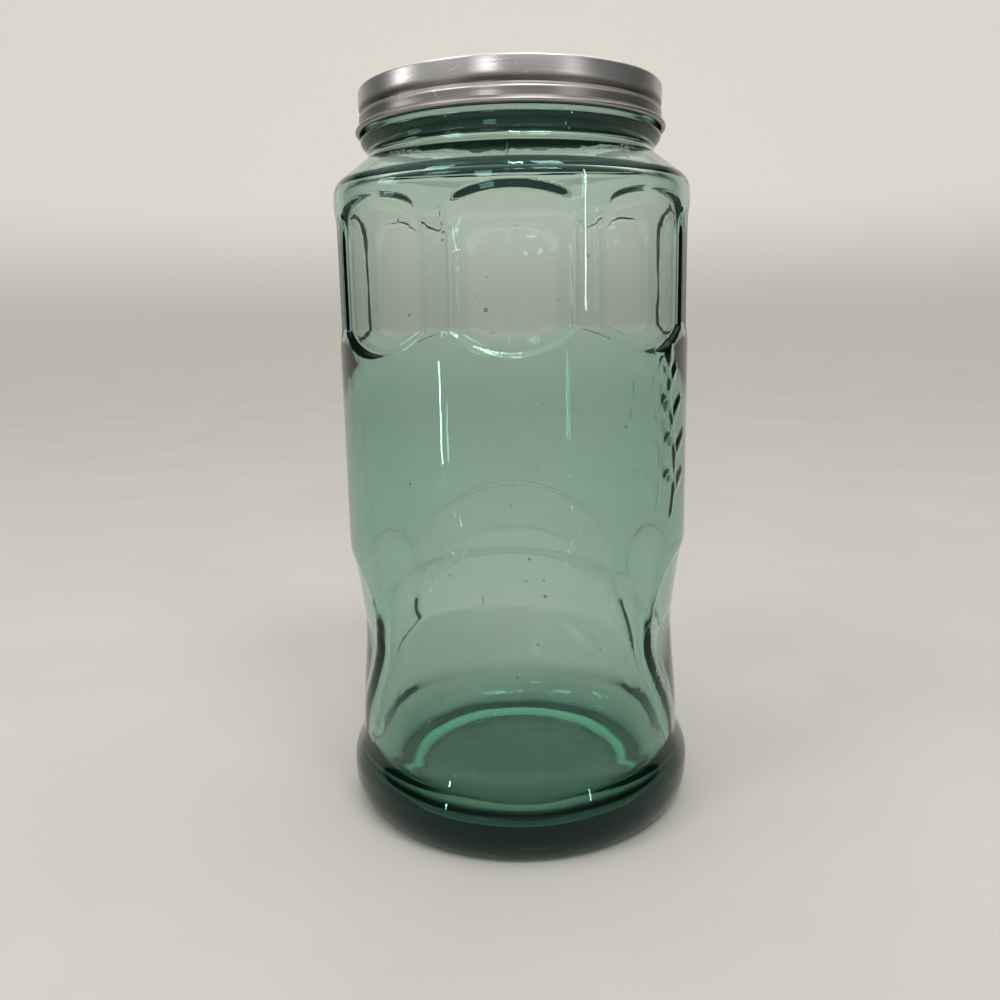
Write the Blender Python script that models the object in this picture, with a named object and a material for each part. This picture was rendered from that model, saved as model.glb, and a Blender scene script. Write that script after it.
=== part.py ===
"""Tall green glass storage jar with a metal screw lid.

Units are metres.  The jar stands on its bearing ring at z = 0 with its axis
along +Z.  Angles run round the axis from the front of the jar, which faces -Y.
"""
import math

import bmesh
import bpy

MM = 0.001

# body of the jar
BODY_RADIUS = 60.0 * MM
FOOT_RADIUS = 62.0 * MM
FOOT_HEIGHT = 13.0 * MM
BEARING_OUTER = 54.0 * MM
BEARING_INNER = 47.0 * MM
PUSH_UP = 3.0 * MM
RIDGE_RADIUS = 58.4 * MM
FLARE_LOW = 15.5 * MM
FLARE_HIGH = 29.5 * MM
SHOULDER_START = 213.0 * MM
SHOULDER_ROUND = 7.0 * MM
NECK_RADIUS = 48.0 * MM
NECK_HEIGHT = 227.0 * MM
NECK_ROUND = 3.0 * MM
BEAD_RADIUS = 50.2 * MM
BEAD_HEIGHT = 231.3 * MM
FINISH_RADIUS = 48.6 * MM
FINISH_LOW = 233.6 * MM
RIM_TOP = 246.0 * MM
RIM_ROUND = 1.4 * MM

# inside of the jar
WALL = 3.8 * MM
WALL_LOW = 6.2 * MM
WALL_CHANGE_LOW = 150.0 * MM
WALL_CHANGE_HIGH = 170.0 * MM
FLOOR_TOP = 8.5 * MM
FLOOR_RADIUS = 42.0 * MM
CORNER_TOP = 23.0 * MM
BORE_RADIUS = 44.2 * MM
FOLLOW = 0.4

# panels round the upper body
PANEL_COUNT = 8
PANEL_HALF_ANGLE = 19.4
PANEL_DEPTH = 1.3 * MM
PANEL_EDGE = 2.1 * MM
PANEL_TOP_EDGE = 1.5 * MM
PANEL_TOP = 211.0 * MM
PANEL_ARCH = 4.5 * MM
PANEL_ROUND = 6.5 * MM
PANEL_BOTTOM = 161.5 * MM
PANEL_LENS = 8.5 * MM
PANEL_MIDDLE = 182.0 * MM

# arched recesses round the waist: centre angle, height of the rim and of the
# floor, half angle of the rim and of the floor, squareness of the arch, and
# how much wider it gets towards the foot
RECESSES = (
    (-3.0, 106.0 * MM, 86.0 * MM, 52.0, 44.0, 2.0, 18.0),
    (87.0, 97.0 * MM, 72.0 * MM, 38.5, 31.0, 3.5, -18.0),
    (182.0, 106.0 * MM, 86.0 * MM, 52.0, 44.0, 2.0, 18.0),
    (267.0, 95.5 * MM, 70.5 * MM, 38.5, 31.0, 3.5, -18.0),
)
SPRING_HEIGHT = 60.0 * MM
OPEN_LOW = 28.0 * MM
OPEN_HIGH = 68.0 * MM
WAIST_RADIUS = 55.7 * MM
WAIST_HEIGHT = 68.0 * MM
FLARE_RADIUS = 58.0 * MM

# lid
LID_RADIUS = 50.3 * MM
LID_TOP = 246.9 * MM
LID_ROUND = 0.9 * MM
SHEET = 0.5 * MM
GROOVE_RADIUS = 49.8 * MM
GROOVE_HIGH = 241.2 * MM
GROOVE_DEEPEST = 239.4 * MM
GROOVE_LOW = 238.9 * MM
CURL_OUTER = 51.6 * MM
CURL_ROUND = 0.85 * MM
CURL_LOW = 233.3 * MM

# fineness
LID_AROUND = 60
SLOPE_STEPS = 10


def ease(value, start, end):
    """Step from 0 to 1 that is smooth at both ends."""
    t = min(max((value - start) / (end - start), 0.0), 1.0)
    return t * t * (3.0 - 2.0 * t)


def mix(a, b, t):
    return a + (b - a) * t


def wrapped(angle, pitch):
    """Angle in degrees measured from the nearest multiple of the pitch."""
    return (angle + 0.5 * pitch) % pitch - 0.5 * pitch


def contour(z):
    """Outer radius of the plain body between the foot and the shoulder."""
    if z < FOOT_HEIGHT:
        t = 1.0 - z / FOOT_HEIGHT
        return mix(BEARING_OUTER, FOOT_RADIUS, math.sqrt(max(1.0 - t * t, 0.0)))
    radius = mix(FOOT_RADIUS, RIDGE_RADIUS, ease(z, FLARE_LOW, FLARE_HIGH))
    return mix(radius, BODY_RADIUS, ease(z, 70.0 * MM, 100.0 * MM))


def recess_floor(z):
    """Outer radius on the floor of a waist recess."""
    low = mix(FLARE_RADIUS, WAIST_RADIUS, ease(z, FLARE_HIGH, WAIST_HEIGHT))
    return mix(FOOT_RADIUS, low, ease(z, FLARE_LOW, FLARE_HIGH))


def arch_share(across, z, rim, floor, half_rim, half_floor, power, opening):
    """How far a point lies down the side of one arch: 0 at its rim, 1 on its floor."""
    rise = max(z - SPRING_HEIGHT, 0.0)
    wider = opening * (1.0 - ease(z, OPEN_LOW, OPEN_HIGH))

    def inside(share):
        width = mix(half_rim, half_floor, share) + wider
        height = mix(rim, floor, share) - SPRING_HEIGHT
        return (across / width) ** power + (rise / height) ** power <= 1.0

    if not inside(0.0):
        return 0.0
    if inside(1.0):
        return 1.0
    low, high = 0.0, 1.0
    for step in range(SLOPE_STEPS):
        middle = 0.5 * (low + high)
        if inside(middle):
            low = middle
        else:
            high = middle
    return low


def recess_share(angle, z):
    """0 outside the waist recesses, 1 on their floors."""
    if z < FOOT_HEIGHT:
        return 0.0
    shares = []
    for centre, *shape in RECESSES:
        shares.append(arch_share(abs(wrapped(angle - centre, 360.0)), z, *shape))
    return max(shares)


def panel_across(angle):
    """Place across a panel: 0 in its middle, 1 at its edges and more on the ribs."""
    return abs(wrapped(angle, 360.0 / PANEL_COUNT)) / PANEL_HALF_ANGLE


def panel_bottom(angle):
    """Height of the curved lower edge of the panels."""
    return PANEL_BOTTOM + PANEL_LENS * min(panel_across(angle), 1.0) ** 2


def panel_top(angle):
    """Height of the curved upper edge of the panels, rounded at both ends."""
    across = min(panel_across(angle), 1.0)
    half = math.radians(PANEL_HALF_ANGLE) * BODY_RADIUS
    into_corner = max(PANEL_ROUND - half * (1.0 - across), 0.0)
    rounding = PANEL_ROUND - math.sqrt(PANEL_ROUND ** 2 - into_corner ** 2)
    return PANEL_TOP - PANEL_ARCH * across ** 2 - rounding


def panel_share(angle, z):
    """0 outside the upper panels, 1 on their floors."""
    across = panel_across(angle)
    half = math.radians(PANEL_HALF_ANGLE) * BODY_RADIUS
    side = min(half * (1.0 - across), z - panel_bottom(angle)) / PANEL_EDGE
    return min(max(min(side, (panel_top(angle) - z) / PANEL_TOP_EDGE), 0.0), 1.0)


def jar_radius(angle, z):
    """Outer radius of the glass body with its panels and recesses."""
    if z > SHOULDER_START:
        return BODY_RADIUS
    plain = contour(z)
    share = recess_share(angle, z)
    depth = share * (plain - recess_floor(z))
    return plain - depth - PANEL_DEPTH * panel_share(angle, z)


def arc(centre_r, centre_z, radius, start, end, steps):
    """Points of an arc in the (radius, height) plane, angles in degrees."""
    points = []
    for i in range(steps + 1):
        a = math.radians(mix(start, end, i / steps))
        points.append((centre_r + radius * math.cos(a), centre_z + radius * math.sin(a)))
    return points


def steps(low, high, count):
    return [mix(low, high, i / count) for i in range(count)]


def outer_heights():
    """Heights of the level rings on the body, from the foot to below the panels."""
    heights = [0.0, 1.0 * MM, 3.5 * MM, 8.0 * MM, FOOT_HEIGHT]
    heights += steps(17.0 * MM, 32.0 * MM, 5)
    heights += steps(32.0 * MM, 62.0 * MM, 4)
    heights += steps(62.0 * MM, 107.0 * MM, 12)
    heights += [107.0 * MM, 132.0 * MM, 158.0 * MM]
    return heights


def panel_rings():
    """Rings over the panels; some follow their curved lower and upper edges."""
    return [
        panel_bottom,
        lambda angle: panel_bottom(angle) + PANEL_EDGE,
        lambda angle: PANEL_MIDDLE,
        lambda angle: mix(PANEL_MIDDLE, panel_top(angle) - PANEL_TOP_EDGE, 0.8),
        lambda angle: panel_top(angle) - PANEL_TOP_EDGE,
        panel_top,
        lambda angle: SHOULDER_START,
    ]


def neck_profile():
    """Outer outline above the shoulder line, up to the rim."""
    shoulder = arc(BODY_RADIUS - SHOULDER_ROUND, SHOULDER_START, SHOULDER_ROUND, 0, 45, 4)
    throat = arc(NECK_RADIUS + NECK_ROUND, NECK_HEIGHT, NECK_ROUND, 225, 180, 3)
    bead = [
        (mix(NECK_RADIUS, BEAD_RADIUS, 0.25), mix(NECK_HEIGHT, BEAD_HEIGHT, 0.4)),
        (mix(NECK_RADIUS, BEAD_RADIUS, 0.85), mix(NECK_HEIGHT, BEAD_HEIGHT, 0.8)),
        (BEAD_RADIUS, BEAD_HEIGHT),
        (FINISH_RADIUS, FINISH_LOW),
    ]
    rim = arc(FINISH_RADIUS - RIM_ROUND, RIM_TOP - RIM_ROUND, RIM_ROUND, 0, 90, 2)
    return shoulder[1:] + throat + bead + rim


def inner_profile():
    """Inside outline from the rim down to the start of the relief."""
    rim = arc(BORE_RADIUS + RIM_ROUND, RIM_TOP - RIM_ROUND, RIM_ROUND, 90, 180, 2)
    throat = arc(NECK_RADIUS + NECK_ROUND, NECK_HEIGHT, NECK_ROUND + WALL, 180, 225, 2)
    shoulder = arc(BODY_RADIUS - SHOULDER_ROUND, SHOULDER_START, SHOULDER_ROUND - WALL,
                   45, 0, 2)
    return rim + throat + shoulder


def inner_radius(angle, z):
    """Inside radius of the body; it follows the relief more softly."""
    wall = mix(WALL_LOW, WALL, ease(z, WALL_CHANGE_LOW, WALL_CHANGE_HIGH))
    plain = min(contour(z), BODY_RADIUS) - wall
    depth = recess_share(angle, z) * (contour(z) - recess_floor(z))
    depth += 0.5 * PANEL_DEPTH * panel_share(angle, z)
    return plain - FOLLOW * depth


def inner_heights():
    """Heights of the inside rings from under the shoulder down to the corner."""
    heights = [208.0, 171.0, 165.0, 159.0, 152.0, 130.0, 106.0, 100.0, 93.0, 86.0, 79.0]
    heights += [72.0, 65.0, 46.0, 31.0]
    return [height * MM for height in heights]


def corner_profile():
    """Inside corner between the wall and the floor, as a quarter ellipse."""
    wide = inner_radius(0.0, CORNER_TOP) - FLOOR_RADIUS
    high = CORNER_TOP - FLOOR_TOP
    points = []
    for i in range(5):
        a = math.radians(90.0 * i / 4)
        points.append((FLOOR_RADIUS + wide * math.cos(a), CORNER_TOP - high * math.sin(a)))
    return points


def ring_angles():
    """Angles of the ring points: closer together at the panel edges."""
    angles = []
    pitch = 360.0 / PANEL_COUNT
    edge = PANEL_HALF_ANGLE
    floor = edge - math.degrees(PANEL_EDGE / BODY_RADIUS)
    for sector in range(PANEL_COUNT):
        for offset in (-edge, -floor, -11.0, -5.5, 0.0, 5.5, 11.0, floor, edge):
            angles.append(sector * pitch + offset)
    return angles


def add_ring(bm, angles, radius_of, height_of):
    """One closed ring of points; radius and height may change round it."""
    ring = []
    for angle in angles:
        a = math.radians(angle)
        z = height_of(angle)
        r = radius_of(angle, z)
        ring.append(bm.verts.new((r * math.sin(a), -r * math.cos(a), z)))
    return ring


def add_circle(bm, angles, radius, z):
    return add_ring(bm, angles, lambda angle, height: radius, lambda angle: z)


def join_rings(bm, rings):
    """Skin between rings that follow each other, seen from outside upwards."""
    count = len(rings[0])
    for lower, upper in zip(rings, rings[1:]):
        for i in range(count):
            j = (i + 1) % count
            bm.faces.new((lower[i], lower[j], upper[j], upper[i]))


def close_disc(bm, ring, z, upward):
    """Fan from a ring to a middle point."""
    middle = bm.verts.new((0.0, 0.0, z))
    count = len(ring)
    for i in range(count):
        j = (i + 1) % count
        if upward:
            bm.faces.new((ring[i], ring[j], middle))
        else:
            bm.faces.new((ring[j], ring[i], middle))


def finish(bm, name, material):
    """Turn the mesh into a named, smooth shaded object."""
    bmesh.ops.recalc_face_normals(bm, faces=bm.faces)
    bmesh.ops.triangulate(bm, faces=bm.faces)
    mesh = bpy.data.meshes.new(name)
    bm.to_mesh(mesh)
    bm.free()
    mesh.shade_smooth()
    mesh.set_sharp_from_angle(angle=math.radians(40.0))
    mesh.materials.append(material)
    obj = bpy.data.objects.new(name, mesh)
    bpy.context.scene.collection.objects.link(obj)
    return obj


def make_material(name, color, roughness, metallic, alpha=1.0):
    material = bpy.data.materials.new(name)
    material.use_nodes = True
    shader = material.node_tree.nodes["Principled BSDF"]
    shader.inputs["Base Color"].default_value = (*color, 1.0)
    shader.inputs["Roughness"].default_value = roughness
    shader.inputs["Metallic"].default_value = metallic
    shader.inputs["Alpha"].default_value = alpha
    return material


def build_jar(material):
    """The glass: one closed skin, outside up to the rim and inside down."""
    bm = bmesh.new()
    angles = ring_angles()
    rings = []
    for z in outer_heights():
        rings.append(add_ring(bm, angles, jar_radius, lambda angle, z=z: z))
    for height_of in panel_rings():
        rings.append(add_ring(bm, angles, jar_radius, height_of))
    for r, z in neck_profile() + inner_profile():
        rings.append(add_circle(bm, angles, r, z))
    for z in inner_heights():
        rings.append(add_ring(bm, angles, inner_radius, lambda angle, z=z: z))
    for r, z in corner_profile():
        rings.append(add_circle(bm, angles, r, z))
    join_rings(bm, rings)
    close_disc(bm, rings[-1], FLOOR_TOP, True)
    under = [rings[0], add_circle(bm, angles, BEARING_INNER, 0.0)]
    for share in (0.55, 1.0):
        r = BEARING_INNER * (1.0 - 0.25 * share)
        under.append(add_circle(bm, angles, r, PUSH_UP * ease(share, 0.0, 1.0)))
    join_rings(bm, list(reversed(under)))
    close_disc(bm, under[-1], PUSH_UP, False)
    return finish(bm, "glass_jar", material)


def lid_outer():
    """Outer outline of the lid from the edge of the top down to the curl."""
    points = arc(LID_RADIUS - LID_ROUND, LID_TOP - LID_ROUND, LID_ROUND, 90, 0, 4)
    points.append((LID_RADIUS, GROOVE_HIGH))
    points.append((GROOVE_RADIUS, GROOVE_DEEPEST))
    points.append((LID_RADIUS, GROOVE_LOW))
    points.append((LID_RADIUS, CURL_LOW + 2.1 * CURL_ROUND))
    curl_r = CURL_OUTER - CURL_ROUND
    points += arc(curl_r, CURL_LOW + CURL_ROUND, CURL_ROUND, 65, -180, 7)
    return points


def lid_inner():
    """Inner outline of the lid from the curl up to the top."""
    inside = LID_RADIUS - SHEET
    points = [(inside, CURL_LOW + 2.1 * CURL_ROUND)]
    points.append((inside, GROOVE_LOW))
    points.append((GROOVE_RADIUS - SHEET, GROOVE_DEEPEST))
    points.append((inside, GROOVE_HIGH))
    corner = LID_ROUND - SHEET
    points += arc(inside - corner, LID_TOP - SHEET - corner, corner, 0, 90, 2)
    return points


def build_lid(material):
    """The lid: a thin drawn cup with a groove and a rolled lower edge."""
    bm = bmesh.new()
    angles = [360.0 * i / LID_AROUND for i in range(LID_AROUND)]
    rings = []
    for r, z in reversed(lid_outer()):
        rings.append(add_circle(bm, angles, r, z))
    join_rings(bm, rings)
    close_disc(bm, rings[-1], LID_TOP, True)
    inner = []
    for r, z in reversed(lid_inner()):
        inner.append(add_circle(bm, angles, r, z))
    join_rings(bm, inner + [rings[0]])
    close_disc(bm, inner[0], LID_TOP - SHEET, False)
    return finish(bm, "metal_lid", material)


def main():
    for obj in list(bpy.data.objects):
        bpy.data.objects.remove(obj, do_unlink=True)
    glass = make_material("green_glass", (0.45, 0.66, 0.56), 0.03, 0.0, 0.35)
    metal = make_material("lid_metal", (0.62, 0.60, 0.58), 0.28, 1.0)
    build_jar(glass)
    build_lid(metal)


main()
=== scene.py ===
"""Glass storage jar with a screw lid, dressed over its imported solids."""

import math
import random

import bpy
import numpy as np
from mathutils import Matrix, Vector


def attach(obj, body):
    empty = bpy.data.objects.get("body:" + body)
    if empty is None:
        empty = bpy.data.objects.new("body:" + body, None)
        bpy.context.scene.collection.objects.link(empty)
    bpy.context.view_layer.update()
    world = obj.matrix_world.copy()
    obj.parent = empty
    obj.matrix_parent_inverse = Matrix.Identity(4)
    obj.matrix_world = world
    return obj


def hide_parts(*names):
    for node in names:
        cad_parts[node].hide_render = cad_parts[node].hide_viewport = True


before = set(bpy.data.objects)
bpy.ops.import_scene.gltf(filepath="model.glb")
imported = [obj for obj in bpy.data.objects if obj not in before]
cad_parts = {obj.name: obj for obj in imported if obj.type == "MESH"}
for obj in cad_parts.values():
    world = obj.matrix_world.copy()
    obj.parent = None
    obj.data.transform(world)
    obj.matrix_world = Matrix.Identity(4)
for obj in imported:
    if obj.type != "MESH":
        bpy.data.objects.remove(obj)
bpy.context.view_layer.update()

MM = 0.001
TURN = 360.0

# Body of the jar, millimetres and degrees, angle 0 towards the front.
BODY_RADIUS = 60.0
FOOT_RADIUS = 62.0
FOOT_HEIGHT = 13.0
BEARING_OUTER = 54.0
BEARING_INNER = 47.0
PUSH_UP = 3.0
RIDGE_RADIUS = 58.4
FLARE_LOW = 15.5
FLARE_HIGH = 29.5
SHOULDER_START = 213.0
SHOULDER_ROUND = 7.0
NECK_RADIUS = 48.0
NECK_HEIGHT = 227.0
NECK_ROUND = 3.0
BEAD_RADIUS = 50.2
BEAD_HEIGHT = 231.3
FINISH_RADIUS = 48.6
FINISH_LOW = 233.6
RIM_TOP = 246.0
RIM_ROUND = 1.4
BORE_RADIUS = 44.2
WALL = 3.8
WALL_LOW = 6.2
WALL_CHANGE = (150.0, 170.0)
FLOOR_TOP = 8.5
FLOOR_RADIUS = 42.0
FLOOR_RINGS = (37.0, 30.0, 20.0, 8.0)
CORNER_TOP = 23.0
CORNER_WANDER = 1.3
FLOOR_WANDER = 0.35
FOLLOW = 0.4
PANEL_FOLLOW = 0.5
BODY_WIDENS = (70.0, 100.0)

# Ring heights in stretches: from, to, step.
OUTER_ROWS = (
    (13, 30, 1.2), (30, 62, 2.4), (62, 108, 0.9), (108, 160, 1.0),
    (160, 174, 0.6), (174, 206, 4.0), (206, 213, 0.7),
)
INNER_ROWS = (
    (212, 204, 1.6), (204, 176, 5.6), (176, 158, 1.2), (158, 110, 6.0),
    (110, 60, 2.0), (60, CORNER_TOP, 3.7),
)
# Under the base, from the middle out: radius and height.
UNDER = (
    (8.0, PUSH_UP), (20.0, PUSH_UP), (36.0, PUSH_UP - 0.1), (40.0, PUSH_UP - 0.6),
    (44.0, 0.8), (BEARING_INNER, 0.0),
)

# Eight shallow panels under the shoulder.
PANEL_PITCH = 45.0
PANEL_HALF = 19.4
PANEL_DEPTH = 1.3
PANEL_EDGE = 2.1
PANEL_SIDE_EDGE = 2.4
PANEL_TOP_EDGE = 1.5
PANEL_ROUND = 6.5
PANEL_CORNER = 0.25
PANEL_TOP = 211.0
PANEL_ARCH = 4.5
PANEL_BOTTOM = 161.5
PANEL_LENS = 8.5

# Four arched recesses round the waist: centre angle, outer and inner height, outer and
# inner half angle, how square the arch is, how far it opens towards the foot and how
# much of its depth is in the small steps at its rim and floor.
RECESSES = (
    (-3.0, 106.0, 86.0, 52.0, 44.0, 2.0, 18.0, 0.05),
    (87.0, 97.0, 72.0, 38.5, 31.0, 3.5, -18.0, 0.14),
    (182.0, 106.0, 86.0, 52.0, 44.0, 2.0, 18.0, 0.22),
    (267.0, 95.5, 70.5, 38.5, 31.0, 3.5, -18.0, 0.14),
)
SPRING_HEIGHT = 60.0
OPEN_LOW = 28.0
OPEN_HIGH = 68.0
RECESS_CORNER = 0.06
WAIST_RADIUS = 55.7
WAIST_HEIGHT = 68.0
FLARE_RADIUS = 58.0

# Raised mould seam, front and back.
SEAM_ANGLE = -0.8
SEAM_RISE = 0.2
SEAM_HALF = 0.4
SEAM_CORE = 0.05
SEAM_START = (17.0, 26.0)
SEAM_END = (224.0, 227.0)

# Leaf sprig in low relief on the band: its place, then the leaves as height of the
# foot on the stem, side, length and lean.
SPRIG_ANGLE = 57.0
SPRIG_LOW = 109.0
SPRIG_HIGH = 158.0
SPRIG_SWAY = 2.6
STEM_RISE = 0.45
STEM_HALF = 1.0
LEAF_RISE = 0.5
LEAF_WIDE = 2.6
LEAVES = (
    (116.0, 1, 13.0, 52.0),
    (120.0, -1, 13.5, 50.0),
    (128.0, 1, 13.0, 50.0),
    (132.5, -1, 12.5, 48.0),
    (140.0, 1, 11.5, 46.0),
    (144.0, -1, 10.5, 44.0),
    (151.0, 1, 9.0, 40.0),
    (154.0, -1, 8.0, 38.0),
    (157.0, 1, 9.5, 4.0),
)

# Seeds (air bubbles) in the glass: angle, height, half width and how drawn out.
SEEDS = (
    (-7.8, 175.6, 0.62, 1.0),
    (-31.9, 174.7, 0.42, 1.0),
    (-20.8, 204.7, 0.16, 1.5),
    (-20.3, 202.7, 0.22, 4.0),
    (-20.1, 200.2, 0.18, 2.0),
    (-19.8, 197.7, 0.34, 1.2),
    (-19.9, 195.5, 0.26, 1.2),
    (-35.0, 202.1, 0.3, 1.3),
    (34.9, 140.1, 0.36, 1.2),
    (38.0, 151.0, 0.14, 22.0),
    (37.3, 143.5, 0.14, 14.0),
    (61.0, 140.4, 0.34, 1.0),
    (-7.3, 184.8, 0.2, 1.5),
    (-10.2, 179.6, 0.2, 1.5),
    (-5.9, 169.1, 0.22, 1.2),
    (-34.4, 123.4, 0.4, 1.0),
    (-21.6, 95.6, 0.32, 1.0),
    (3.7, 101.6, 0.4, 1.1),
    (8.3, 94.2, 0.3, 1.4),
    (8.9, 88.8, 0.55, 1.0),
    (6.3, 73.0, 0.36, 1.0),
    (-32.1, 44.2, 0.7, 1.0),
    (-24.5, 199.0, 0.18, 1.4),
    (13.1, 178.0, 0.2, 1.6),
)
LOOSE_SEEDS = 40
LOOSE_HEIGHTS = ((32.0, 205.0), (60.0, 150.0))
LOOSE_SIZES = (0.12, 0.34)
LOOSE_STRETCH = 1.4
SEED_DEPTH = (0.3, 0.6)
JAR_COLUMNS = 304
LID_COLUMNS = 256

# Screw lid.
LID_RADIUS = 50.3
LID_TOP = 246.9
LID_ROUND = 0.9
SHEET = 0.5
LID_EDGE = 46.0
LID_RINGS = (10.0, 25.0, 38.0)
# Height on the side of the lid and how far its surface lies inside the lid radius there.
LID_SIDE = (
    (243.2, 0.0), (242.1, 0.01), (241.5, 0.06), (240.9, 0.17), (240.3, 0.34), (239.8, 0.46),
    (239.4, 0.5), (239.15, 0.44), (239.0, 0.2), (238.85, 0.04), (238.65, 0.02), (238.45, 0.14),
    (238.25, 0.14), (238.05, 0.02), (237.8, 0.0), (237.4, 0.06), (236.6, 0.08), (235.6, 0.05),
)
CURL_OUTER = 51.6
CURL_ROUND = 0.85
CURL_LOW = 233.3

GLASS_TINT = (0.22, 0.58, 0.44, 1.0)
GLASS_DENSITY = 100.0
GLASS_GLEAM = (0.5, 0.92, 0.84, 1.0)
LID_DARK = (0.47, 0.45, 0.44)
LID_LIGHT = (0.68, 0.655, 0.64)
LID_SMUDGE = (0.46, 0.45, 0.45)
LID_SCRATCH = (0.9, 0.88, 0.86)
# Painted shade: dark colour for the unlit inside of the lid.
LID_INSIDE_SHADE = (0.085, 0.085, 0.08)
# Painted shade laid on the lid's low band and in its groove.
LID_PAINTED_SHADE = (0.085, 0.07, 0.062)
LID_ROUGHNESS = (0.27, 0.4)
INSIDE_DULLER = 0.45
BRUSH_ROUND = 0.8
BRUSH_ACROSS = 1500.0
SMUDGE_SCALE = 55.0
SCRATCH_SCALE = 130.0
SCRATCH_WIDTH = 0.018
RARE_SCALE = 160.0
RARE_REACH = (0.6, 0.66)

# Where the painted shade on the lid's low band and groove starts and ends, and where its inside
# starts, metres: heights, then radii for its inside.
LOW_BAND_FADE = (0.2376, 0.2386)
GROOVE_STARTS = (0.2390, 0.2394)
GROOVE_ENDS = (0.2404, 0.2420)
UNDER_TOP_FADE = (0.24645, 0.24655)
INNER_FADE = (0.0500, 0.0501)
NEAR_AXIS_FADE = (0.0490, 0.0491)

FLOOR_DARK = (0.455, 0.44, 0.405)
FLOOR_LIGHT = (0.485, 0.47, 0.435)
FLOOR_REACH = 6.0

# Room light by direction: share of the way from -Y to +Y and its colour, at the level
# of the floor's far edge and above it, then the ceiling.
ROOM_LOW = (
    (0.0, (0.24, 0.26, 0.25)),
    (0.3, (0.09, 0.10, 0.10)),
    (0.78, (0.06, 0.075, 0.07)),
    (0.88, (0.50, 0.475, 0.42)),
    (0.98, (0.50, 0.475, 0.42)),
)
ROOM_ROUND = (
    (0.0, (0.40, 0.41, 0.42)),
    (0.3, (0.12, 0.13, 0.135)),
    (0.78, (0.065, 0.08, 0.08)),
    (0.88, (0.69, 0.65, 0.58)),
    (0.98, (0.73, 0.69, 0.62)),
)
HORIZON_RISE = 0.13
CEILING = (1.4, 1.36, 1.3)
CEILING_LOW = 0.45
CEILING_HIGH = 0.75

# Soft lamps: name, place, the point it faces, width, height (metres) and power in watts.
LIGHTS = (
    ("key", (0.5, -0.9, 1.5), (0, 0, 0.1), 0.4, 0.4, 6.0),
    ("fill", (-0.9, -0.7, 1.2), (0, 0, 0.1), 0.4, 0.4, 4.0),
    ("left_strip", (-0.615, -0.593, 0.07), (0, 0, 0.1), 0.014, 0.12, 0.2),
    ("right_strip", (0.595, -0.614, 0.35), (0, 0, 0.2), 0.012, 0.34, 0.36),
    ("left_panel", (-1.05, -0.16, 0.5), (0, 0, 0.23), 0.25, 0.2, 0.8),
    ("lamp", (-0.3, -1.05, 0.5), (0, 0, 0.1), 0.18, 0.18, 0.6),
    ("overhead", (0.05, -0.62, 0.95), (0, 0, 0.13), 0.1, 0.1, 1.5),
)

# Camera, millimetres for the lens, metres and degrees for its place.
LENS = 33.264
SENSOR = 36.0
CAMERA_PLACE = (0.0, -0.329297, 0.172259)
CAMERA_PITCH = 10.919
CAMERA_YAW = -1.021
CAMERA_ROLL = -1.139


def ease(value, low, high):
    share = np.clip((np.asarray(value, float) - low) / (high - low), 0.0, 1.0)
    return share * share * (3.0 - 2.0 * share)


def mix(first, second, share):
    return first + (second - first) * share


def wrapped(angle, period):
    return (angle + 0.5 * period) % period - 0.5 * period


def contour(height):
    """Outer radius of the jar before panels and recesses are pressed in."""
    under = 1.0 - np.clip(height / FOOT_HEIGHT, 0.0, 1.0)
    foot = mix(BEARING_OUTER, FOOT_RADIUS, np.sqrt(np.clip(1.0 - under * under, 0.0, 1.0)))
    side = mix(FOOT_RADIUS, RIDGE_RADIUS, ease(height, FLARE_LOW, FLARE_HIGH))
    side = mix(side, BODY_RADIUS, ease(height, *BODY_WIDENS))
    return np.where(height < FOOT_HEIGHT, foot, side)


def recess_floor(height):
    low = mix(FLARE_RADIUS, WAIST_RADIUS, ease(height, FLARE_HIGH, WAIST_HEIGHT))
    return mix(FOOT_RADIUS, low, ease(height, FLARE_LOW, FLARE_HIGH))


def ramp(share, corner):
    """0 to 1 in a straight slope whose two ends are rounded off."""
    share = np.clip(share, 0.0, 1.0)
    start = share * share / (2.0 * corner)
    end = 1.0 - corner - (1.0 - share) ** 2 / (2.0 * corner)
    middle = share - 0.5 * corner
    raised = np.where(share < corner, start, np.where(share > 1.0 - corner, end, middle))
    return raised / (1.0 - corner)


def one_recess(across, height, shape, crisp):
    """0 outside the arch, 1 on its floor."""
    outer, inner, half_outer, half_inner, power, opening, step = shape
    rise = np.clip(height - SPRING_HEIGHT, 0.0, None)
    wider = opening * (1.0 - ease(height, OPEN_LOW, OPEN_HIGH))
    low = np.zeros_like(across)
    high = np.ones_like(across)

    def inside(share):
        width = mix(half_outer, half_inner, share) + wider
        tall = mix(outer, inner, share) - SPRING_HEIGHT
        return (across / width) ** power + (rise / tall) ** power <= 1.0

    any_inside = inside(low)
    floor = inside(high)
    for _ in range(16):
        middle = 0.5 * (low + high)
        hit = inside(middle)
        low = np.where(hit, middle, low)
        high = np.where(hit, high, middle)
    share = np.where(floor, 1.0, np.where(any_inside, low, 0.0))
    if not crisp:
        return ease(share, 0.0, 1.0)
    steps = step * (ease(share, 0.0, 0.07) + ease(share, 0.93, 1.0))
    return steps + (1.0 - 2.0 * step) * ramp(share, RECESS_CORNER)


def recess_share(angle, height, crisp):
    share = np.zeros_like(angle)
    for centre, *shape in RECESSES:
        across = np.abs(wrapped(angle - centre, TURN))
        share = np.maximum(share, one_recess(across, height, shape, crisp))
    return np.where(height < FOOT_HEIGHT, 0.0, share)


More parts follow.
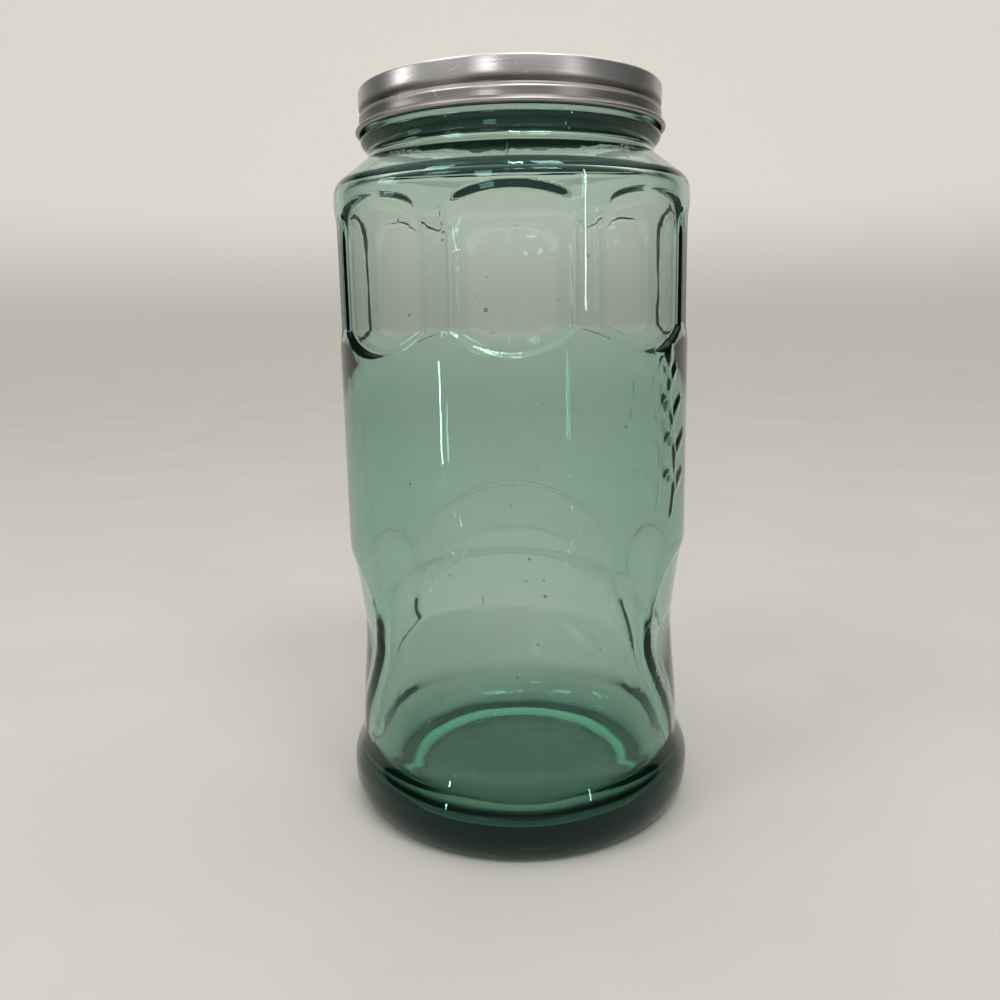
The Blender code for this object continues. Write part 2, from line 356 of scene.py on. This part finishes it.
def panel_share(angle, height):
    across = wrapped(angle, PANEL_PITCH) / PANEL_HALF
    half = math.radians(PANEL_HALF) * BODY_RADIUS
    bottom = PANEL_BOTTOM + PANEL_LENS * across**2
    top = PANEL_TOP - PANEL_ARCH * across**2
    side = half * (1.0 - np.abs(across))
    below = top - height
    corner = PANEL_ROUND - np.hypot(np.clip(PANEL_ROUND - side, 0.0, None),
                                    np.clip(PANEL_ROUND - below, 0.0, None))
    turned = np.clip((PANEL_ROUND - below) / PANEL_ROUND, 0.0, 1.0)
    edge = mix(PANEL_SIDE_EDGE, PANEL_TOP_EDGE, turned)
    share = np.minimum((height - bottom) / PANEL_EDGE, side / PANEL_SIDE_EDGE)
    share = np.minimum(share, below / PANEL_TOP_EDGE)
    return ramp(np.minimum(share, corner / edge), PANEL_CORNER)


def seam_rise(angle, height):
    across = np.radians(np.abs(wrapped(angle - SEAM_ANGLE, 0.5 * TURN))) * BODY_RADIUS
    along = ease(height, *SEAM_START) * (1.0 - ease(height, *SEAM_END))
    return SEAM_RISE * (1.0 - ease(across, SEAM_CORE, SEAM_HALF)) * along


def stem_across(height):
    share = (height - SPRIG_LOW) / (SPRIG_HIGH - SPRIG_LOW)
    return SPRIG_SWAY * np.sin(1.6 * math.pi * share)


def sprig_rise(angle, height):
    """Raised sprig: a curved stem and pointed leaves with a ridge down the middle."""
    across = np.radians(wrapped(angle - SPRIG_ANGLE, TURN)) * BODY_RADIUS
    side = np.abs(across - stem_across(height))
    foot_end = ease(height, SPRIG_LOW - 2.0, SPRIG_LOW + 1.0)
    ends = foot_end * (1.0 - ease(height, SPRIG_HIGH - 2.0, SPRIG_HIGH + 2.0))
    rise = STEM_RISE * (1.0 - ease(side, 0.2 * STEM_HALF, STEM_HALF)) * ends
    for foot, hand, length, lean in LEAVES:
        turn = math.radians(lean)
        run = (across - stem_across(foot)) * hand
        along = (run * math.sin(turn) + (height - foot) * math.cos(turn)) / length
        off = np.abs(run * math.cos(turn) - (height - foot) * math.sin(turn))
        share = np.clip(along, 0.0, 1.0)
        width = LEAF_WIDE * np.sin(math.pi * share**0.75) ** 0.8
        roof = np.clip(1.0 - off / np.maximum(width, 0.01), 0.0, 1.0)
        leaf = np.where((along > 0.0) & (along < 1.0), roof**0.7, 0.0)
        rise = np.maximum(rise, LEAF_RISE * leaf)
    return rise


def outer_radius(angle, height):
    wide = contour(height)
    pressed = recess_share(angle, height, True) * (wide - recess_floor(height))
    pressed = pressed + PANEL_DEPTH * panel_share(angle, height)
    return wide - pressed + np.maximum(seam_rise(angle, height), sprig_rise(angle, height))


def inner_radius(angle, height):
    wide = contour(height)
    pressed = recess_share(angle, height, False) * (wide - recess_floor(height))
    pressed = pressed + PANEL_FOLLOW * PANEL_DEPTH * panel_share(angle, height)
    wall = mix(WALL_LOW, WALL, ease(height, *WALL_CHANGE))
    return np.minimum(wide, BODY_RADIUS) - wall - FOLLOW * pressed


def arc(radius, height, size, start, end, count):
    """Points (radius, height) along a circular arc, angles in degrees."""
    points = []
    for step in range(count + 1):
        turn = math.radians(mix(start, end, step / count))
        points.append((radius + size * math.cos(turn), height + size * math.sin(turn)))
    return points


def swell(start, end, count):
    """Points (radius, height) from start to end along a smooth S, without the start."""
    points = []
    for step in range(1, count + 1):
        share = step / count
        radius = mix(start[0], end[0], float(ease(share, 0.0, 1.0)))
        points.append((radius, mix(start[1], end[1], share)))
    return points


def spread(count, crowds):
    """Angles round the jar, closer together in the crowds (angle, reach, gain)."""
    fine = np.linspace(0.0, TURN, 14401)
    weight = np.ones_like(fine)
    for place, reach, gain in crowds:
        weight += gain * np.exp(-((wrapped(fine - place, TURN) / reach) ** 2))
    total = np.concatenate([[0.0], np.cumsum(0.5 * (weight[1:] + weight[:-1]))])
    return np.interp(np.arange(count) * total[-1] / count, total, fine)


def rows(*stretches):
    """Heights from stretches (from, to, step), the last end left out of each."""
    heights = []
    for low, high, step in stretches:
        count = max(1, round(abs(high - low) / step))
        heights += [mix(low, high, i / count) for i in range(count)]
    return heights


def ring(angles, radius, height):
    turn = np.radians(angles)
    radius = np.broadcast_to(radius, angles.shape)
    height = np.broadcast_to(height, angles.shape)
    return np.stack([radius * np.sin(turn), -radius * np.cos(turn), height], -1)


def lathe_mesh(name, rings, first_centre, last_centre, extra=None):
    """A mesh of rings of equal length, its ends closed by fans to a point."""
    count = len(rings[0])
    points = np.concatenate(rings)
    index = np.arange(len(points)).reshape(len(rings), count)
    faces = []
    for low, high in zip(index[:-1], index[1:]):
        quads = np.stack([low, np.roll(low, -1), np.roll(high, -1), high], -1)
        faces += quads.tolist()
    for end, centre, step in ((index[0], first_centre, -1), (index[-1], last_centre, 1)):
        tip = len(points)
        points = np.concatenate([points, [[0.0, 0.0, centre]]])
        for i in range(count):
            pair = [int(end[i]), int(end[(i + 1) % count])]
            faces.append(pair[::step] + [tip])
    if extra:
        points, faces = extra(points, faces)
    mesh = bpy.data.meshes.new(name)
    mesh.from_pydata((points * MM).tolist(), [], faces)
    mesh.shade_smooth()
    thing = bpy.data.objects.new(name, mesh)
    bpy.context.scene.collection.objects.link(thing)
    return thing


def new_material(name):
    made = bpy.data.materials.new(name)
    made.use_nodes = True
    return made, made.node_tree.nodes, made.node_tree.links


def jar_angles():
    edge = PANEL_HALF - 0.5 * math.degrees(PANEL_SIDE_EDGE / BODY_RADIUS)
    crowds = [(PANEL_PITCH * k + side * edge, 2.0, 2.6) for k in range(8) for side in (-1, 1)]
    crowds += [(SEAM_ANGLE + turn, 0.5, 6.0) for turn in (0.0, 180.0)]
    crowds += [(SPRIG_ANGLE, 16.0, 1.2)]
    return spread(JAR_COLUMNS, crowds)


def bubble(centre, size):
    """Points and faces of a small closed hollow in the glass, seen from inside the glass."""
    points = [(0.0, 0.0, -1.0)]
    for level in (-0.71, 0.0, 0.71):
        wide = math.sqrt(1.0 - level * level)
        for k in range(8):
            turn = 0.25 * math.pi * k
            points.append((wide * math.cos(turn), wide * math.sin(turn), level))
    points.append((0.0, 0.0, 1.0))
    faces = []
    for k in range(8):
        j = (k + 1) % 8
        faces.append((0, 1 + k, 1 + j))
        for row in (1, 9):
            faces.append((row + k, row + 8 + k, row + 8 + j, row + j))
        faces.append((17 + k, 25, 17 + j))
    return np.array(points) * np.array(size) + np.array(centre), faces


def uneven(angles):
    """Slow wander of the inside round the foot, where the glass set unevenly."""
    turn = np.radians(angles)
    return np.sin(2 * turn + 1.0) + 0.7 * np.sin(5 * turn + 2.2) + 0.5 * np.sin(9 * turn + 0.4)


def add_bubbles(points, faces):
    chance = random.Random(12)
    spots = list(SEEDS)
    for _ in range(LOOSE_SEEDS):
        angle = chance.uniform(0.0, TURN)
        height = chance.choice([chance.uniform(*reach) for reach in LOOSE_HEIGHTS])
        spots.append((angle, height, chance.uniform(*LOOSE_SIZES), LOOSE_STRETCH))
    for angle, height, size, stretch in spots:
        turn = np.array([angle])
        tall = np.array([height])
        outside = float(outer_radius(turn, tall)[0])
        inside = float(inner_radius(turn, tall)[0])
        radius = mix(outside, inside, chance.uniform(*SEED_DEPTH))
        centre = ring(turn, radius, height)[0]
        more, sides = bubble(centre, (size, size, size * stretch))
        faces += [[len(points) + i for i in side] for side in sides]
        points = np.concatenate([points, more])
    return points, faces


def build_jar():
    angles = jar_angles()
    rings = []
    for height in FOOT_HEIGHT * (1.0 - np.cos(np.linspace(0.0, math.pi / 2, 15)[:-1])):
        tall = np.full_like(angles, height)
        rings.append(ring(angles, outer_radius(angles, tall), tall))
    for height in rows(*OUTER_ROWS):
        tall = np.full_like(angles, height)
        rings.append(ring(angles, outer_radius(angles, tall), tall))
    profile = arc(BODY_RADIUS - SHOULDER_ROUND, SHOULDER_START, SHOULDER_ROUND, 0, 45, 6)
    profile += arc(NECK_RADIUS + NECK_ROUND, NECK_HEIGHT, NECK_ROUND, 225, 180, 5)
    profile += swell((NECK_RADIUS, NECK_HEIGHT), (BEAD_RADIUS, BEAD_HEIGHT), 7)
    profile += swell((BEAD_RADIUS, BEAD_HEIGHT), (FINISH_RADIUS, FINISH_LOW), 4)
    profile += arc(FINISH_RADIUS - RIM_ROUND, RIM_TOP - RIM_ROUND, RIM_ROUND, 0, 90, 4)
    for radius, height in profile:
        rings.append(ring(angles, radius + seam_rise(angles, height), height))
    profile = arc(BORE_RADIUS + RIM_ROUND, RIM_TOP - RIM_ROUND, RIM_ROUND, 90, 180, 3)
    profile += arc(NECK_RADIUS + NECK_ROUND, NECK_HEIGHT, NECK_ROUND + WALL, 180, 225, 4)
    profile += arc(BODY_RADIUS - SHOULDER_ROUND, SHOULDER_START, SHOULDER_ROUND - WALL, 45, 0, 4)
    rings += [ring(angles, radius, height) for radius, height in profile]
    for height in rows(*INNER_ROWS):
        tall = np.full_like(angles, height)
        rings.append(ring(angles, inner_radius(angles, tall), tall))
    side = inner_radius(angles, np.full_like(angles, CORNER_TOP))
    wander = uneven(angles)
    edge = FLOOR_RADIUS + CORNER_WANDER * wander
    for turn in np.radians(np.linspace(0.0, 90.0, 10)):
        radius = edge + (side - edge) * math.cos(turn)
        drop = (CORNER_TOP - FLOOR_TOP - FLOOR_WANDER * wander) * math.sin(turn)
        rings.append(ring(angles, radius, CORNER_TOP - drop))
    for radius in FLOOR_RINGS:
        uplift = FLOOR_WANDER * wander * (radius / FLOOR_RADIUS) ** 2
        rings.append(ring(angles, radius, FLOOR_TOP + uplift))
    below = [ring(angles, radius, height) for radius, height in UNDER]
    return lathe_mesh("jar_glass", below + rings, PUSH_UP, FLOOR_TOP, add_bubbles)


def glass_material():
    """Clear green glass, tinted by its thickness, with a faint ripple in its surface."""
    made, nodes, links = new_material("green_glass_finish")
    shader = nodes["Principled BSDF"]
    shader.inputs["Base Color"].default_value = (1.0, 1.0, 1.0, 1.0)
    shader.inputs["IOR"].default_value = 1.5
    shader.inputs["Transmission Weight"].default_value = 1.0
    shader.inputs["Specular Tint"].default_value = GLASS_GLEAM
    tint = nodes.new("ShaderNodeVolumeAbsorption")
    tint.inputs["Color"].default_value = GLASS_TINT
    tint.inputs["Density"].default_value = GLASS_DENSITY
    links.new(tint.outputs["Volume"], nodes["Material Output"].inputs["Volume"])
    place = nodes.new("ShaderNodeTexCoord")
    dull = noise(nodes, links, place.outputs["Object"], 70.0, 3.0)
    links.new(map_range(nodes, links, dull, 0.55, 0.8, 0.0, 0.035), shader.inputs["Roughness"])
    stretched = nodes.new("ShaderNodeMapping")
    stretched.inputs["Scale"].default_value = (1.0, 1.0, 0.55)
    links.new(place.outputs["Object"], stretched.inputs["Vector"])
    ripple = noise(nodes, links, stretched.outputs["Vector"], 52.0, 3.0)
    bump = nodes.new("ShaderNodeBump")
    bump.inputs["Strength"].default_value = 0.22
    bump.inputs["Distance"].default_value = 0.0006
    links.new(ripple, bump.inputs["Height"])
    links.new(bump.outputs["Normal"], shader.inputs["Normal"])
    return made


def lid_profile():
    """Outline of the lid from the edge of its top round the curl and back inside."""
    outline = [(LID_EDGE, LID_TOP)]
    outline += arc(LID_RADIUS - LID_ROUND, LID_TOP - LID_ROUND, LID_ROUND, 90, 0, 8)
    outline += [(LID_RADIUS - dip, height) for height, dip in LID_SIDE]
    outline += arc(CURL_OUTER - CURL_ROUND, CURL_LOW + CURL_ROUND, CURL_ROUND, 75, -180, 14)
    inside = LID_RADIUS - SHEET
    outline += [(inside - dip, height) for height, dip in reversed(LID_SIDE[::2])]
    corner = LID_ROUND - SHEET
    outline += arc(inside - corner, LID_TOP - SHEET - corner, corner, 0, 90, 3)
    return outline + [(LID_EDGE, LID_TOP - SHEET)]


def build_lid():
    angles = np.arange(LID_COLUMNS) * TURN / LID_COLUMNS
    top = [(radius, LID_TOP) for radius in LID_RINGS]
    under = [(radius, LID_TOP - SHEET) for radius in reversed(LID_RINGS)]
    points = top + lid_profile() + under
    rings = [ring(angles, radius, height) for radius, height in points]
    lid = lathe_mesh("lid_shell", rings, LID_TOP, LID_TOP - SHEET)
    lid.data.set_sharp_from_angle(angle=math.radians(40))
    return lid


def socket_math(nodes, links, operation, first, second):
    """A math node between two values or sockets; gives its output socket."""
    node = nodes.new("ShaderNodeMath")
    node.operation = operation
    for socket, value in zip(node.inputs, (first, second)):
        if isinstance(value, (int, float)):
            socket.default_value = value
        else:
            links.new(value, socket)
    return node.outputs["Value"]


def map_range(nodes, links, value, low, high, to_low=0.0, to_high=1.0, smooth=False):
    node = nodes.new("ShaderNodeMapRange")
    if smooth:
        node.interpolation_type = "SMOOTHSTEP"
    node.inputs["From Min"].default_value = low
    node.inputs["From Max"].default_value = high
    node.inputs["To Min"].default_value = to_low
    node.inputs["To Max"].default_value = to_high
    links.new(value, node.inputs["Value"])
    return node.outputs["Result"]


def noise(nodes, links, vector, scale, detail=2.0):
    node = nodes.new("ShaderNodeTexNoise")
    node.inputs["Scale"].default_value = scale
    node.inputs["Detail"].default_value = detail
    links.new(vector, node.inputs["Vector"])
    return node.outputs["Fac"]


def colour_mix(nodes, links, share, first, second):
    """Mix of two colours or sockets by a share."""
    node = nodes.new("ShaderNodeMix")
    node.data_type = "RGBA"
    for name, value in (("Factor", share), ("A", first), ("B", second)):
        if isinstance(value, tuple):
            node.inputs[name].default_value = (*value, 1.0)
        else:
            links.new(value, node.inputs[name])
    return node.outputs["Result"]


def multiply(nodes, links, first, second):
    return socket_math(nodes, links, "MULTIPLY", first, second)


def lid_scratches(nodes, links, place):
    """Where a few short scratches run: edges of cells, kept only in rare spots."""
    scratch = nodes.new("ShaderNodeTexVoronoi")
    scratch.feature = "DISTANCE_TO_EDGE"
    scratch.inputs["Scale"].default_value = SCRATCH_SCALE
    links.new(place, scratch.inputs["Vector"])
    line = map_range(nodes, links, scratch.outputs["Distance"], 0.0, SCRATCH_WIDTH, 1.0, 0.0)
    rare = map_range(nodes, links, noise(nodes, links, place, RARE_SCALE), *RARE_REACH)
    return multiply(nodes, links, line, rare)


def lid_inside(nodes, links, x, y, z, radius):
    """1 on the inside of the lid: faces turned to the axis or down under the top."""
    geometry = nodes.new("ShaderNodeNewGeometry")
    outward = nodes.new("ShaderNodeVectorMath")
    outward.operation = "DOT_PRODUCT"
    level = nodes.new("ShaderNodeCombineXYZ")
    links.new(x, level.inputs["X"])
    links.new(y, level.inputs["Y"])
    links.new(geometry.outputs["True Normal"], outward.inputs[0])
    links.new(level.outputs["Vector"], outward.inputs[1])
    facing_in = map_range(nodes, links, outward.outputs["Value"], -0.004, -0.002, 1.0, 0.0)
    inner = map_range(nodes, links, radius, *INNER_FADE, 1.0, 0.0)
    under_top = map_range(nodes, links, z, *UNDER_TOP_FADE, 1.0, 0.0)
    near_axis = map_range(nodes, links, radius, *NEAR_AXIS_FADE, 1.0, 0.0)
    turned_down = multiply(nodes, links, under_top, near_axis)
    inside = multiply(nodes, links, inner, facing_in)
    return socket_math(nodes, links, "MAXIMUM", inside, turned_down)


def lid_colour(nodes, links, place, z, brushed, smudge):
    """Brushed tin with smudges and scratches, and painted shade darkening the low band and the
    groove.
    """
    bright = map_range(nodes, links, brushed, 0.25, 0.75)
    metal = colour_mix(nodes, links, bright, LID_DARK, LID_LIGHT)
    smudged = map_range(nodes, links, smudge, 0.48, 0.75, 0.0, 0.55)
    metal = colour_mix(nodes, links, smudged, metal, LID_SMUDGE)
    worn = lid_scratches(nodes, links, place)
    metal = colour_mix(nodes, links, worn, metal, LID_SCRATCH)
    # Painted shade: the low band under the groove is darkened by half.
    low_band_shade = map_range(nodes, links, z, *LOW_BAND_FADE, 0.5, 0.0)
    metal = colour_mix(nodes, links, low_band_shade, metal, LID_PAINTED_SHADE)
    # Painted shade: the groove is darkened, a little unevenly.
    above = map_range(nodes, links, z, *GROOVE_STARTS, smooth=True)
    below = map_range(nodes, links, z, *GROOVE_ENDS, 1.0, 0.0, smooth=True)
    patchy = map_range(nodes, links, smudge, 0.3, 0.7, 0.97, 0.8)
    groove_shade = multiply(nodes, links, multiply(nodes, links, above, below), patchy)
    return colour_mix(nodes, links, groove_shade, metal, LID_PAINTED_SHADE)


def metal_material():
    """Tinplate, finely brushed round its axis, worn outside, rougher inside and coloured dark
    inside as painted shade.
    """
    made, nodes, links = new_material("lid_metal_finish")
    shader = nodes["Principled BSDF"]
    shader.inputs["Metallic"].default_value = 1.0
    place = nodes.new("ShaderNodeTexCoord").outputs["Object"]
    split = nodes.new("ShaderNodeSeparateXYZ")
    links.new(place, split.inputs["Vector"])
    x, y, z = (split.outputs[name] for name in "XYZ")
    squares = socket_math(nodes, links, "ADD", multiply(nodes, links, x, x),
                          multiply(nodes, links, y, y))
    radius = socket_math(nodes, links, "SQRT", squares, 0.0)
    turn = socket_math(nodes, links, "ARCTAN2", y, x)
    round_about = nodes.new("ShaderNodeCombineXYZ")
    links.new(multiply(nodes, links, turn, BRUSH_ROUND), round_about.inputs["X"])
    links.new(multiply(nodes, links, z, BRUSH_ACROSS), round_about.inputs["Y"])
    links.new(multiply(nodes, links, radius, BRUSH_ACROSS), round_about.inputs["Z"])
    brushed = noise(nodes, links, round_about.outputs["Vector"], 3.0, 3.0)
    smudge = noise(nodes, links, place, SMUDGE_SCALE, 4.0)
    metal = lid_colour(nodes, links, place, z, brushed, smudge)
    inside = lid_inside(nodes, links, x, y, z, radius)
    # Painted shade: the inside of the lid is coloured dark.
    links.new(colour_mix(nodes, links, inside, metal, LID_INSIDE_SHADE), shader.inputs["Base Color"])
    rough = map_range(nodes, links, smudge, 0.3, 0.7, *LID_ROUGHNESS)
    dull = multiply(nodes, links, inside, INSIDE_DULLER)
    links.new(socket_math(nodes, links, "ADD", rough, dull), shader.inputs["Roughness"])
    bump = nodes.new("ShaderNodeBump")
    bump.inputs["Strength"].default_value = 0.25
    bump.inputs["Distance"].default_value = 0.00006
    links.new(brushed, bump.inputs["Height"])
    links.new(bump.outputs["Normal"], shader.inputs["Normal"])
    return made


def floor_material():
    """Pale matt board with a faint mottle."""
    made, nodes, links = new_material("floor_finish")
    shader = nodes["Principled BSDF"]
    place = nodes.new("ShaderNodeTexCoord")
    cloud = noise(nodes, links, place.outputs["Object"], 9.0, 5.0)
    mottle = map_range(nodes, links, cloud, 0.3, 0.7)
    board = colour_mix(nodes, links, mottle, FLOOR_DARK, FLOOR_LIGHT)
    links.new(board, shader.inputs["Base Color"])
    shader.inputs["Roughness"].default_value = 0.8
    return made


def add_floor():
    mesh = bpy.data.meshes.new("floor")
    corners = [(-FLOOR_REACH, -FLOOR_REACH, 0), (FLOOR_REACH, -FLOOR_REACH, 0),
               (FLOOR_REACH, FLOOR_REACH, 0), (-FLOOR_REACH, FLOOR_REACH, 0)]
    mesh.from_pydata(corners, [], [[0, 1, 2, 3]])
    mesh.materials.append(floor_material())
    floor = bpy.data.objects.new("floor", mesh)
    bpy.context.scene.collection.objects.link(floor)


def direction_ramp(nodes, links, value, stops):
    ramp_node = nodes.new("ShaderNodeValToRGB")
    elements = ramp_node.color_ramp.elements
    for spot, colour in stops:
        element = elements[0] if spot == 0.0 else elements.new(spot)
        element.position = spot
        element.color = (*colour, 1.0)
    elements.remove(elements[-1])
    links.new(value, ramp_node.inputs["Fac"])
    return ramp_node.outputs["Color"]


def add_room():
    """A pale wall behind, dim sides and a bright ceiling, as seen in the glass."""
    world = bpy.data.worlds.new("studio")
    bpy.context.scene.world = world
    world.use_nodes = True
    nodes = world.node_tree.nodes
    links = world.node_tree.links
    place = nodes.new("ShaderNodeTexCoord")
    split = nodes.new("ShaderNodeSeparateXYZ")
    links.new(place.outputs["Generated"], split.inputs["Vector"])
    back = map_range(nodes, links, split.outputs["Y"], -1.0, 1.0)
    low = direction_ramp(nodes, links, back, ROOM_LOW)
    high = direction_ramp(nodes, links, back, ROOM_ROUND)
    rise = map_range(nodes, links, split.outputs["Z"], 0.0, HORIZON_RISE, smooth=True)
    room = colour_mix(nodes, links, rise, low, high)
    top = map_range(nodes, links, split.outputs["Z"], CEILING_LOW, CEILING_HIGH, smooth=True)
    room = colour_mix(nodes, links, top, room, CEILING)
    links.new(room, nodes["Background"].inputs["Color"])


def add_light(name, place, target, wide, tall, power):
    light = bpy.data.lights.new(name, "AREA")
    light.energy = power
    light.size = wide
    if tall != wide:
        light.shape = "RECTANGLE"
        light.size_y = tall
    thing = bpy.data.objects.new(name, light)
    bpy.context.scene.collection.objects.link(thing)
    thing.location = place
    aim = Vector(target) - Vector(place)
    thing.rotation_euler = aim.to_track_quat("-Z", "Y").to_euler()


def add_camera():
    pitch, yaw, roll = (math.radians(v) for v in (CAMERA_PITCH, CAMERA_YAW, CAMERA_ROLL))
    forward = Vector((math.sin(yaw) * math.cos(pitch), math.cos(yaw) * math.cos(pitch),
                      -math.sin(pitch)))
    level = Vector((math.cos(yaw), -math.sin(yaw), 0.0))
    upright = level.cross(forward)
    right = level * math.cos(roll) + upright * math.sin(roll)
    up = upright * math.cos(roll) - level * math.sin(roll)
    view = Matrix.Identity(4)
    for row in range(3):
        view[row][0] = right[row]
        view[row][1] = up[row]
        view[row][2] = -forward[row]
        view[row][3] = CAMERA_PLACE[row]
    data = bpy.data.cameras.new("camera")
    data.lens = LENS
    data.sensor_width = SENSOR
    data.clip_start = 0.01
    camera = bpy.data.objects.new("camera", data)
    bpy.context.scene.collection.objects.link(camera)
    camera.matrix_world = view
    bpy.context.scene.camera = camera


bpy.context.scene.view_settings.view_transform = "Standard"
add_camera()
add_floor()
add_room()
for light in LIGHTS:
    add_light(*light)

jar = build_jar()
jar.data.materials.append(glass_material())
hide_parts("glass_jar")
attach(jar, "root")

lid = build_lid()
lid.data.materials.append(metal_material())
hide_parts("metal_lid")
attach(lid, "root")
